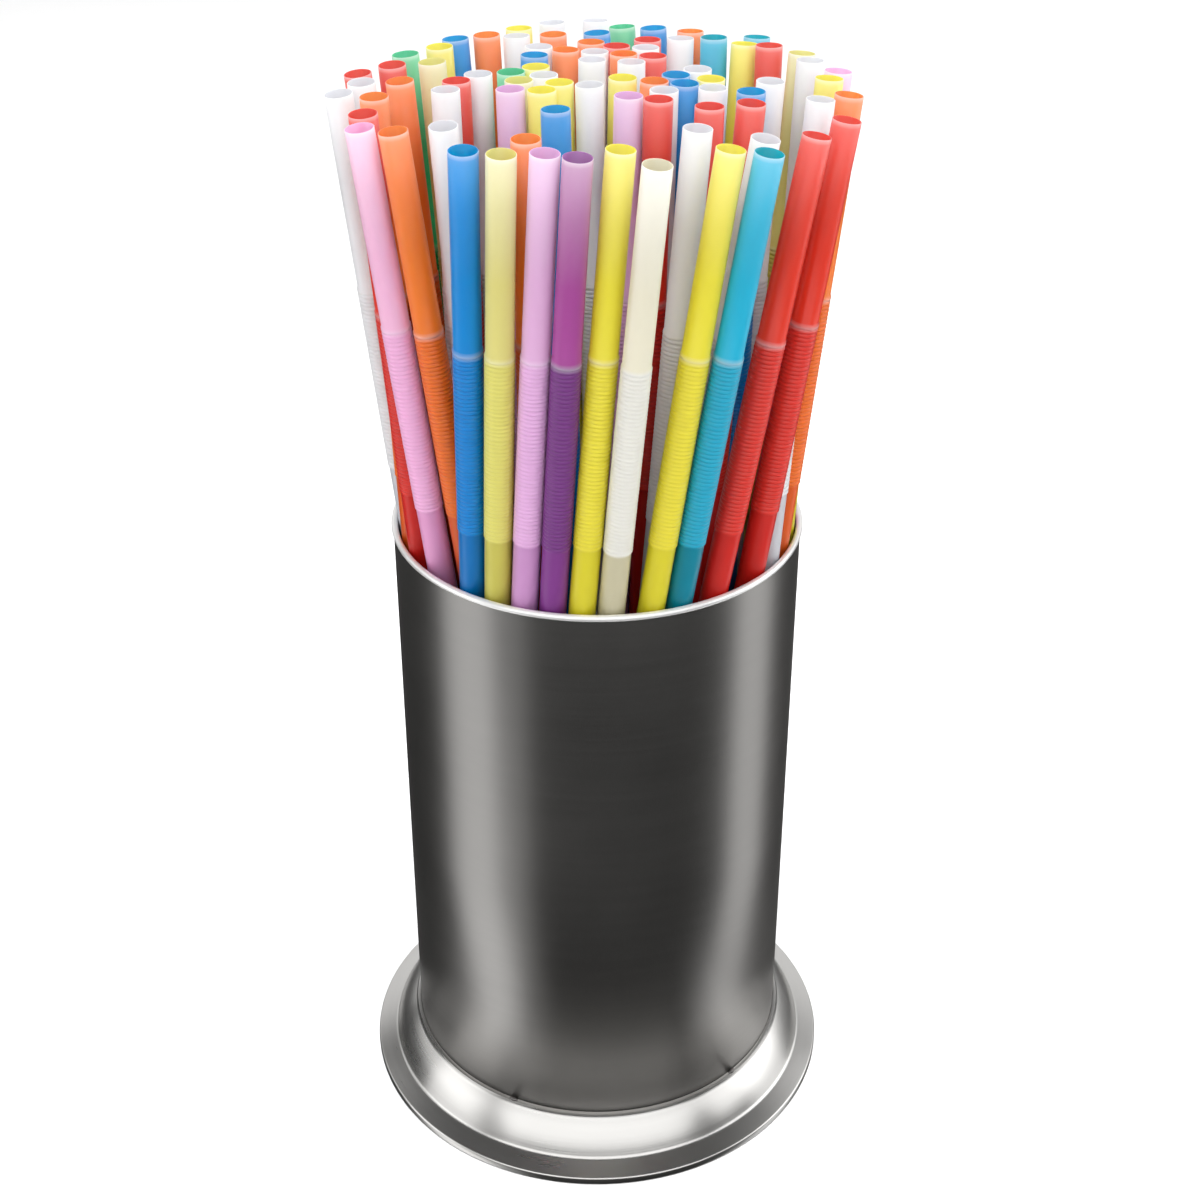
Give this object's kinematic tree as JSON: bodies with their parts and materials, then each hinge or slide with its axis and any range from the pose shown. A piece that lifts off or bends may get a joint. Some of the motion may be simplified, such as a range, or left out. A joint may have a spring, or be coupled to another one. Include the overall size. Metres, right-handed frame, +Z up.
{
  "type": "drinking straw holder",
  "caption": "Round steel cup on a flared base, loaded with bendy drinking straws that fan out over its rolled rim; each outer straw lifts out along its own length.",
  "frame": {"origin": "centre of the flared base on its resting plane", "axes": "+Z up along the axis of the cup; -Y towards the front of the picture, +X to its right"},
  "size_m": [0.12, 0.12, 0.264],
  "materials": {
    "cup_steel": "stainless steel sheet, satin, with a fine grain and soft upright bands",
    "base_steel": "pressed stainless steel, brighter satin polish with small scratches",
    "straw_blue": "translucent blue polypropylene, smooth, with a fine ribbed neck",
    "straw_cream": "translucent pale yellow polypropylene, smooth, with a fine ribbed neck",
    "straw_green": "translucent green polypropylene, smooth, with a fine ribbed neck",
    "straw_lilac": "translucent lilac polypropylene, smooth, with a fine ribbed neck",
    "straw_orange": "translucent orange polypropylene, smooth, with a fine ribbed neck",
    "straw_pink": "translucent pink polypropylene, smooth, with a fine ribbed neck",
    "straw_purple": "translucent purple polypropylene, smooth, with a fine ribbed neck",
    "straw_red": "translucent red polypropylene, smooth, with a fine ribbed neck",
    "straw_teal": "translucent blue-green polypropylene, smooth, with a fine ribbed neck",
    "straw_white": "translucent white polypropylene, smooth, with a fine ribbed neck",
    "straw_yellow": "translucent yellow polypropylene, smooth, with a fine ribbed neck"
  },
  "bodies": {
    "holder": {"cup_wall": "cup_steel", "cup_floor": "cup_steel", "flared_base": "base_steel", "tack_welds": "base_steel"},
    "straw_01": {"straw_01": "straw_pink"},
    "straw_02": {"straw_02": "straw_orange"},
    "straw_03": {"straw_03": "straw_blue"},
    "straw_04": {"straw_04": "straw_cream"},
    "straw_05": {"straw_05": "straw_lilac"},
    "straw_06": {"straw_06": "straw_purple"},
    "straw_07": {"straw_07": "straw_yellow"},
    "straw_08": {"straw_08": "straw_cream"},
    "straw_09": {"straw_09": "straw_yellow"},
    "straw_10": {"straw_10": "straw_teal"},
    "straw_11": {"straw_11": "straw_white"},
    "straw_12": {"straw_12": "straw_red"},
    "straw_13": {"straw_13": "straw_red"},
    "straw_14": {"straw_14": "straw_red"},
    "straw_15": {"straw_15": "straw_white"},
    "straw_16": {"straw_16": "straw_orange"},
    "straw_17": {"straw_17": "straw_yellow"},
    "straw_18": {"straw_18": "straw_white"},
    "straw_19": {"straw_19": "straw_orange"},
    "straw_20": {"straw_20": "straw_blue"},
    "straw_21": {"straw_21": "straw_white"},
    "straw_22": {"straw_22": "straw_teal"},
    "straw_23": {"straw_23": "straw_yellow"},
    "straw_24": {"straw_24": "straw_orange"},
    "straw_25": {"straw_25": "straw_yellow"},
    "straw_26": {"straw_26": "straw_green"},
    "straw_27": {"straw_27": "straw_white"},
    "straw_28": {"straw_28": "straw_blue"},
    "straw_29": {"straw_29": "straw_red"},
    "straw_30": {"straw_30": "straw_white"},
    "straw_31": {"straw_31": "straw_orange"},
    "straw_32": {"straw_32": "straw_blue"},
    "straw_33": {"straw_33": "straw_red"},
    "straw_34": {"straw_34": "straw_white"},
    "straw_35": {"straw_35": "straw_green"},
    "straw_36": {"straw_36": "straw_orange"},
    "straw_37": {"straw_37": "straw_white"},
    "straw_38": {"straw_38": "straw_red"},
    "straw_39": {"straw_39": "straw_white"},
    "straw_40": {"straw_40": "straw_yellow"},
    "straw_41": {"straw_41": "straw_pink"},
    "straw_42": {"straw_42": "straw_white"},
    "straw_43": {"straw_43": "straw_blue"},
    "straw_44": {"straw_44": "straw_orange"},
    "straw_45": {"straw_45": "straw_yellow"},
    "straw_46": {"straw_46": "straw_white"},
    "straw_47": {"straw_47": "straw_red"},
    "straw_48": {"straw_48": "straw_blue"},
    "straw_49": {"straw_49": "straw_white"},
    "straw_50": {"straw_50": "straw_lilac"},
    "inner_straws_1": {"inner_straws_1": "straw_white"},
    "inner_straws_2": {"inner_straws_2": "straw_white"},
    "inner_straws_3": {"inner_straws_3": "straw_white"}
  },
  "joints": [
    {"name": "straw_01_lift", "type": "slide", "parent": "holder", "child": "straw_01", "axis": [-0.1078, -0.0747, 0.9914], "range_m": [0, 0.168]},
    {"name": "straw_02_lift", "type": "slide", "parent": "holder", "child": "straw_02", "axis": [-0.1105, -0.0704, 0.9914], "range_m": [0, 0.168]},
    {"name": "straw_03_lift", "type": "slide", "parent": "holder", "child": "straw_03", "axis": [0.0192, -0.1225, 0.9923], "range_m": [0, 0.168]},
    {"name": "straw_04_lift", "type": "slide", "parent": "holder", "child": "straw_04", "axis": [0.0357, -0.1117, 0.9931], "range_m": [0, 0.168]},
    {"name": "straw_05_lift", "type": "slide", "parent": "holder", "child": "straw_05", "axis": [0.0576, -0.0881, 0.9944], "range_m": [0, 0.168]},
    {"name": "straw_06_lift", "type": "slide", "parent": "holder", "child": "straw_06", "axis": [0.0576, -0.0922, 0.9941], "range_m": [0, 0.168]},
    {"name": "straw_07_lift", "type": "slide", "parent": "holder", "child": "straw_07", "axis": [0.0736, -0.0497, 0.996], "range_m": [0, 0.168]},
    {"name": "straw_08_lift", "type": "slide", "parent": "holder", "child": "straw_08", "axis": [0.0783, -0.1059, 0.9913], "range_m": [0, 0.168]},
    {"name": "straw_09_lift", "type": "slide", "parent": "holder", "child": "straw_09", "axis": [0.1313, -0.0273, 0.991], "range_m": [0, 0.168]},
    {"name": "straw_10_lift", "type": "slide", "parent": "holder", "child": "straw_10", "axis": [0.1441, -0.0521, 0.9882], "range_m": [0, 0.168]},
    {"name": "straw_11_lift", "type": "slide", "parent": "holder", "child": "straw_11", "axis": [0.1446, -0.0719, 0.9869], "range_m": [0, 0.168]},
    {"name": "straw_12_lift", "type": "slide", "parent": "holder", "child": "straw_12", "axis": [0.1659, 0.0232, 0.9859], "range_m": [0, 0.168]},
    {"name": "straw_13_lift", "type": "slide", "parent": "holder", "child": "straw_13", "axis": [0.1452, 0.0131, 0.9893], "range_m": [0, 0.168]},
    {"name": "straw_14_lift", "type": "slide", "parent": "holder", "child": "straw_14", "axis": [0.0646, 0.0318, 0.9974], "range_m": [0, 0.168]},
    {"name": "straw_15_lift", "type": "slide", "parent": "holder", "child": "straw_15", "axis": [0.1009, 0.0255, 0.9946], "range_m": [0, 0.168]},
    {"name": "straw_16_lift", "type": "slide", "parent": "holder", "child": "straw_16", "axis": [0.0525, 0.0458, 0.9976], "range_m": [0, 0.168]},
    {"name": "straw_17_lift", "type": "slide", "parent": "holder", "child": "straw_17", "axis": [0.0713, 0.038, 0.9967], "range_m": [0, 0.168]},
    {"name": "straw_18_lift", "type": "slide", "parent": "holder", "child": "straw_18", "axis": [0.0318, 0.0429, 0.9986], "range_m": [0, 0.168]},
    {"name": "straw_19_lift", "type": "slide", "parent": "holder", "child": "straw_19", "axis": [0.0595, 0.0675, 0.9959], "range_m": [0, 0.168]},
    {"name": "straw_20_lift", "type": "slide", "parent": "holder", "child": "straw_20", "axis": [0.0042, 0.0396, 0.9992], "range_m": [0, 0.168]},
    {"name": "straw_21_lift", "type": "slide", "parent": "holder", "child": "straw_21", "axis": [0.0302, 0.0909, 0.9954], "range_m": [0, 0.168]},
    {"name": "straw_22_lift", "type": "slide", "parent": "holder", "child": "straw_22", "axis": [-0.007, 0.0343, 0.9994], "range_m": [0, 0.168]},
    {"name": "straw_23_lift", "type": "slide", "parent": "holder", "child": "straw_23", "axis": [0.0017, 0.0726, 0.9974], "range_m": [0, 0.168]},
    {"name": "straw_24_lift", "type": "slide", "parent": "holder", "child": "straw_24", "axis": [-0.0498, 0.0367, 0.9981], "range_m": [0, 0.168]},
    {"name": "straw_25_lift", "type": "slide", "parent": "holder", "child": "straw_25", "axis": [-0.0561, 0.0673, 0.9961], "range_m": [0, 0.168]},
    {"name": "straw_26_lift", "type": "slide", "parent": "holder", "child": "straw_26", "axis": [-0.0523, 0.021, 0.9984], "range_m": [0, 0.168]},
    {"name": "straw_27_lift", "type": "slide", "parent": "holder", "child": "straw_27", "axis": [-0.0526, 0.0344, 0.998], "range_m": [0, 0.168]},
    {"name": "straw_28_lift", "type": "slide", "parent": "holder", "child": "straw_28", "axis": [-0.0286, 0.0011, 0.9996], "range_m": [0, 0.168]},
    {"name": "straw_29_lift", "type": "slide", "parent": "holder", "child": "straw_29", "axis": [-0.0378, 0.0408, 0.9985], "range_m": [0, 0.168]},
    {"name": "straw_30_lift", "type": "slide", "parent": "holder", "child": "straw_30", "axis": [-0.0431, -0.009, 0.999], "range_m": [0, 0.168]},
    {"name": "straw_31_lift", "type": "slide", "parent": "holder", "child": "straw_31", "axis": [-0.0685, 0.0203, 0.9974], "range_m": [0, 0.168]},
    {"name": "straw_32_lift", "type": "slide", "parent": "holder", "child": "straw_32", "axis": [-0.047, -0.0179, 0.9987], "range_m": [0, 0.168]},
    {"name": "straw_33_lift", "type": "slide", "parent": "holder", "child": "straw_33", "axis": [-0.0838, -0.006, 0.9965], "range_m": [0, 0.168]},
    {"name": "straw_34_lift", "type": "slide", "parent": "holder", "child": "straw_34", "axis": [-0.0552, -0.0542, 0.997], "range_m": [0, 0.168]},
    {"name": "straw_35_lift", "type": "slide", "parent": "holder", "child": "straw_35", "axis": [-0.0962, -0.0426, 0.9945], "range_m": [0, 0.168]},
    {"name": "straw_36_lift", "type": "slide", "parent": "holder", "child": "straw_36", "axis": [-0.0553, -0.0614, 0.9966], "range_m": [0, 0.168]},
    {"name": "straw_37_lift", "type": "slide", "parent": "holder", "child": "straw_37", "axis": [-0.0935, -0.0586, 0.9939], "range_m": [0, 0.168]},
    {"name": "straw_38_lift", "type": "slide", "parent": "holder", "child": "straw_38", "axis": [-0.0282, -0.0508, 0.9983], "range_m": [0, 0.168]},
    {"name": "straw_39_lift", "type": "slide", "parent": "holder", "child": "straw_39", "axis": [-0.0617, -0.0787, 0.995], "range_m": [0, 0.168]},
    {"name": "straw_40_lift", "type": "slide", "parent": "holder", "child": "straw_40", "axis": [0.0661, -0.0377, 0.9971], "range_m": [0, 0.168]},
    {"name": "straw_41_lift", "type": "slide", "parent": "holder", "child": "straw_41", "axis": [0.0613, -0.03, 0.9977], "range_m": [0, 0.168]},
    {"name": "straw_42_lift", "type": "slide", "parent": "holder", "child": "straw_42", "axis": [0.0415, -0.0052, 0.9991], "range_m": [0, 0.168]},
    {"name": "straw_43_lift", "type": "slide", "parent": "holder", "child": "straw_43", "axis": [0.0362, 0.0843, 0.9958], "range_m": [0, 0.168]},
    {"name": "straw_44_lift", "type": "slide", "parent": "holder", "child": "straw_44", "axis": [0.011, 0.0632, 0.9979], "range_m": [0, 0.168]},
    {"name": "straw_45_lift", "type": "slide", "parent": "holder", "child": "straw_45", "axis": [-0.0158, 0.0913, 0.9957], "range_m": [0, 0.168]},
    {"name": "straw_46_lift", "type": "slide", "parent": "holder", "child": "straw_46", "axis": [-0.0365, 0.0398, 0.9985], "range_m": [0, 0.168]},
    {"name": "straw_47_lift", "type": "slide", "parent": "holder", "child": "straw_47", "axis": [-0.0598, -0.01, 0.9982], "range_m": [0, 0.168]},
    {"name": "straw_48_lift", "type": "slide", "parent": "holder", "child": "straw_48", "axis": [-0.0699, -0.0408, 0.9967], "range_m": [0, 0.168]},
    {"name": "straw_49_lift", "type": "slide", "parent": "holder", "child": "straw_49", "axis": [-0.0467, -0.1054, 0.9933], "range_m": [0, 0.168]},
    {"name": "straw_50_lift", "type": "slide", "parent": "holder", "child": "straw_50", "axis": [-0.0022, -0.0805, 0.9968], "range_m": [0, 0.168]},
    {"name": "inner_straws_1_lift", "type": "slide", "parent": "holder", "child": "inner_straws_1", "axis": [0.0153, -0.0129, 0.9998], "range_m": [0, 0.168]},
    {"name": "inner_straws_2_lift", "type": "slide", "parent": "holder", "child": "inner_straws_2", "axis": [0.0035, 0.0197, 0.9998], "range_m": [0, 0.168]},
    {"name": "inner_straws_3_lift", "type": "slide", "parent": "holder", "child": "inner_straws_3", "axis": [-0.0188, -0.0068, 0.9998], "range_m": [0, 0.168]}
  ]
}
